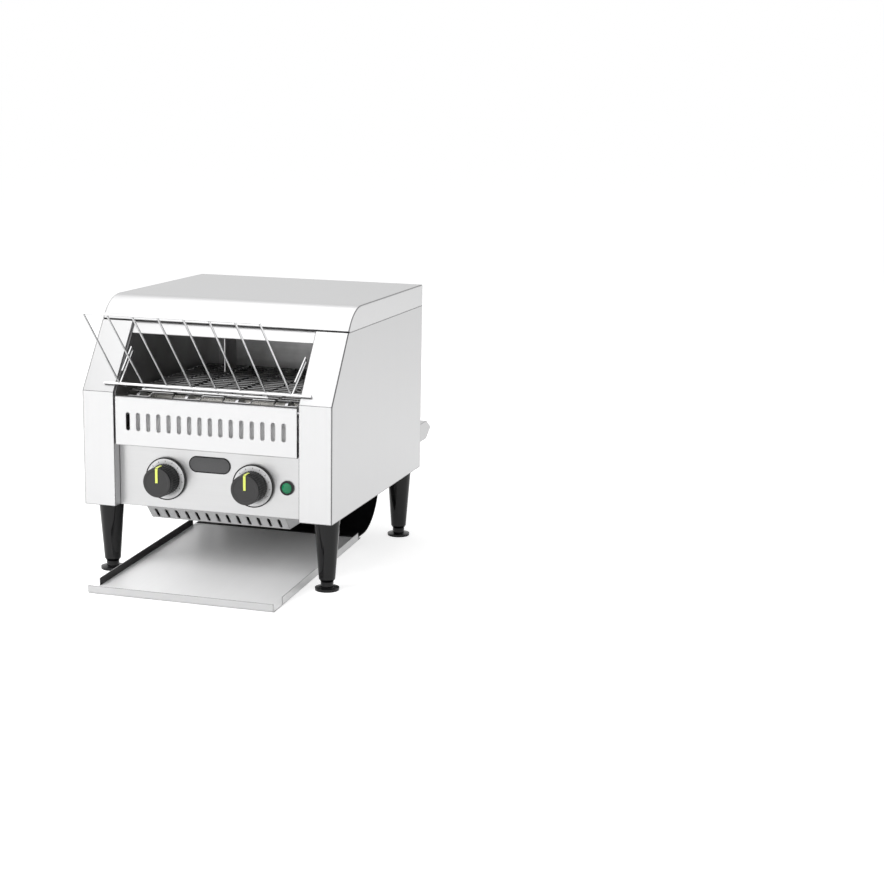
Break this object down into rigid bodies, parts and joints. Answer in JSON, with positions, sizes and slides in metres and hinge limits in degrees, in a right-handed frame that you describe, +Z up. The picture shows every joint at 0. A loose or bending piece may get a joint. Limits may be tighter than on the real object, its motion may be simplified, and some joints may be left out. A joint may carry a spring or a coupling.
{
  "type": "conveyor toaster",
  "caption": "Counter-top conveyor toaster with a wire loading rack, an endless wire belt through a heated chamber, a return chute and a slide-out tray.",
  "frame": {"origin": "on the counter, under the middle of the whole machine with its rack and rear bracket", "axes": "+X to the right seen from the front, +Y to the rear, +Z up"},
  "size_m": [0.368, 0.5566, 0.387],
  "materials": {
    "casing_steel": "bright brushed stainless sheet",
    "panel_steel": "fine horizontal brushing",
    "inner_steel": "aluminised sheet, slightly heat-tinted",
    "pan_steel": "dull rolled stainless sheet",
    "tray_steel": "smooth bright stainless sheet",
    "dark_sheet": "black heat-proof enamel",
    "leg_black": "glossy black moulding",
    "foot_black": "black foot pad with a plated stud",
    "chromed_wire": "bright chrome plate",
    "belt_wire": "bright stainless wire",
    "machined_steel": "turned and ground steel",
    "quartz": "milky quartz tube",
    "ceramic": "fired ceramic",
    "knob_black": "moulded, slightly satin",
    "pointer_green": "painted marker",
    "rim_black": "black ring",
    "bezel_silver": "spun silver disc",
    "badge_dark": "plain dark pill",
    "lens_green": "clear green lens",
    "motor_case": "cast gear case",
    "control_black": "moulded housing"
  },
  "bodies": {
    "casing": {"left_side_casing": "casing_steel", "right_side_casing": "casing_steel", "top_cover": "casing_steel", "lintel": "casing_steel", "vent_panel": "casing_steel", "vent_baffle": "inner_steel", "control_panel": "panel_steel", "rear_panel": "panel_steel", "casing_screws": "machined_steel", "rear_bracket": "casing_steel", "cable_gland": "control_black", "legs": "leg_black", "leg_nuts": "machined_steel", "base_plate": "inner_steel", "deflector_pan": "pan_steel", "return_chute": "dark_sheet", "tray_rests": "pan_steel", "left_inner_wall": "inner_steel", "right_inner_wall": "inner_steel", "upper_reflector": "inner_steel", "lower_reflector": "inner_steel", "rear_heat_shield": "inner_steel", "element_support": "inner_steel", "heating_elements": "quartz", "element_end_caps": "ceramic", "shaft_bearings": "machined_steel", "conveyor_belt": "belt_wire", "belt_rails": "inner_steel", "drive_chain": "machined_steel", "gear_motor": "motor_case", "motor_bracket": "inner_steel", "fan_housing": "control_black", "selector_switch": "control_black", "speed_controller": "control_black", "knob_bezels": "bezel_silver", "bezel_rims": "rim_black", "badge_plate": "badge_dark", "pilot_housing": "control_black", "pilot_lens": "lens_green", "terminal_block": "control_black"},
    "drive_roller": {"drive_shaft": "machined_steel", "drive_belt_sprockets": "machined_steel", "shaft_sprocket": "machined_steel"},
    "idler_roller": {"idler_shaft": "machined_steel", "idler_belt_sprockets": "machined_steel"},
    "motor_output": {"motor_shaft": "machined_steel", "motor_sprocket": "machined_steel"},
    "fan_rotor": {"fan_impeller": "control_black"},
    "selector": {"selector_knob": "knob_black", "selector_pointer": "pointer_green", "selector_spindle": "machined_steel"},
    "speed_dial": {"speed_knob": "knob_black", "speed_pointer": "pointer_green", "speed_spindle": "machined_steel"},
    "tray": {"collection_tray": "tray_steel"},
    "rack": {"loading_rack": "chromed_wire"},
    "front_left_foot": {"front_left_foot": "foot_black"},
    "front_right_foot": {"front_right_foot": "foot_black"},
    "rear_left_foot": {"rear_left_foot": "foot_black"},
    "rear_right_foot": {"rear_right_foot": "foot_black"}
  },
  "joints": [
    {"name": "drive_turn", "type": "hinge", "parent": "casing", "child": "drive_roller", "pos_m": [0, 0.11074, 0.2433], "axis": [-1, 0, 0], "continuous": true, "deforming": ["conveyor_belt", "drive_chain"]},
    {"name": "idler_turn", "type": "hinge", "parent": "casing", "child": "idler_roller", "pos_m": [0, -0.14666, 0.2433], "axis": [-1, 0, 0], "continuous": true},
    {"name": "motor_turn", "type": "hinge", "parent": "casing", "child": "motor_output", "pos_m": [0.155, 0.01817, 0.133], "axis": [-1, 0, 0], "continuous": true},
    {"name": "fan_turn", "type": "hinge", "parent": "casing", "child": "fan_rotor", "pos_m": [-0.03, -0.05066, 0.115], "axis": [0, 0, 1], "continuous": true},
    {"name": "selector_turn", "type": "hinge", "parent": "casing", "child": "selector", "pos_m": [-0.065, -0.16466, 0.1445], "axis": [0, 1, 0], "range_deg": [0, 270]},
    {"name": "speed_turn", "type": "hinge", "parent": "casing", "child": "speed_dial", "pos_m": [0.065, -0.16466, 0.1445], "axis": [0, 1, 0], "range_deg": [0, 300]},
    {"name": "tray_slide", "type": "slide", "parent": "casing", "child": "tray", "axis": [0, -1, 0], "range_m": [0, 0.3]},
    {"name": "rack_lift", "type": "slide", "parent": "casing", "child": "rack", "axis": [0, -0.6867, 0.7269], "range_m": [0, 0.08]},
    {"name": "front_left_foot_screw", "type": "slide", "parent": "casing", "child": "front_left_foot", "axis": [0, 0, -1], "range_m": [0, 0.01]},
    {"name": "front_right_foot_screw", "type": "slide", "parent": "casing", "child": "front_right_foot", "axis": [0, 0, -1], "range_m": [0, 0.01]},
    {"name": "rear_left_foot_screw", "type": "slide", "parent": "casing", "child": "rear_left_foot", "axis": [0, 0, -1], "range_m": [0, 0.01]},
    {"name": "rear_right_foot_screw", "type": "slide", "parent": "casing", "child": "rear_right_foot", "axis": [0, 0, -1], "range_m": [0, 0.01]}
  ],
  "couplings": [
    {"joint": "idler_turn", "follows": "drive_turn", "ratio": 1},
    {"joint": "motor_turn", "follows": "drive_turn", "ratio": 1}
  ]
}
